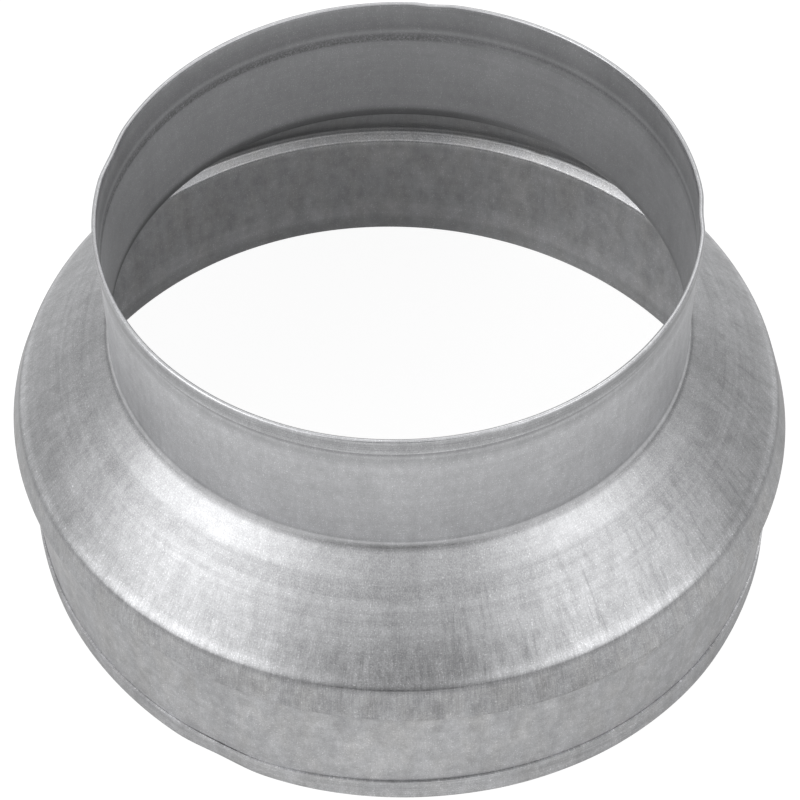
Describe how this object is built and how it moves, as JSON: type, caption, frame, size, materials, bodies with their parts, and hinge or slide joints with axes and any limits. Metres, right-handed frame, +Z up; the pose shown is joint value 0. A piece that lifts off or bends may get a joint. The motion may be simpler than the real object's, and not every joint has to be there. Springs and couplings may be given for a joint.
{
  "type": "duct reducer",
  "caption": "Round pressed sheet-steel duct reducer: a small collar with a folded rim, a sloping shoulder, a ledge and a larger collar with a folded edge, joining two sizes of duct.",
  "frame": {"origin": "on the duct axis, at the floor under the large collar's folded edge", "axes": "+Z up along the duct axis towards the small collar; X and Y are free, as the piece is round"},
  "size_m": [0.2054, 0.2054, 0.1114],
  "materials": {
    "zinc_sheet": "galvanised, dull satin with drawing marks"
  },
  "bodies": {
    "root": {"reducer_body": "zinc_sheet"}
  },
  "joints": []
}
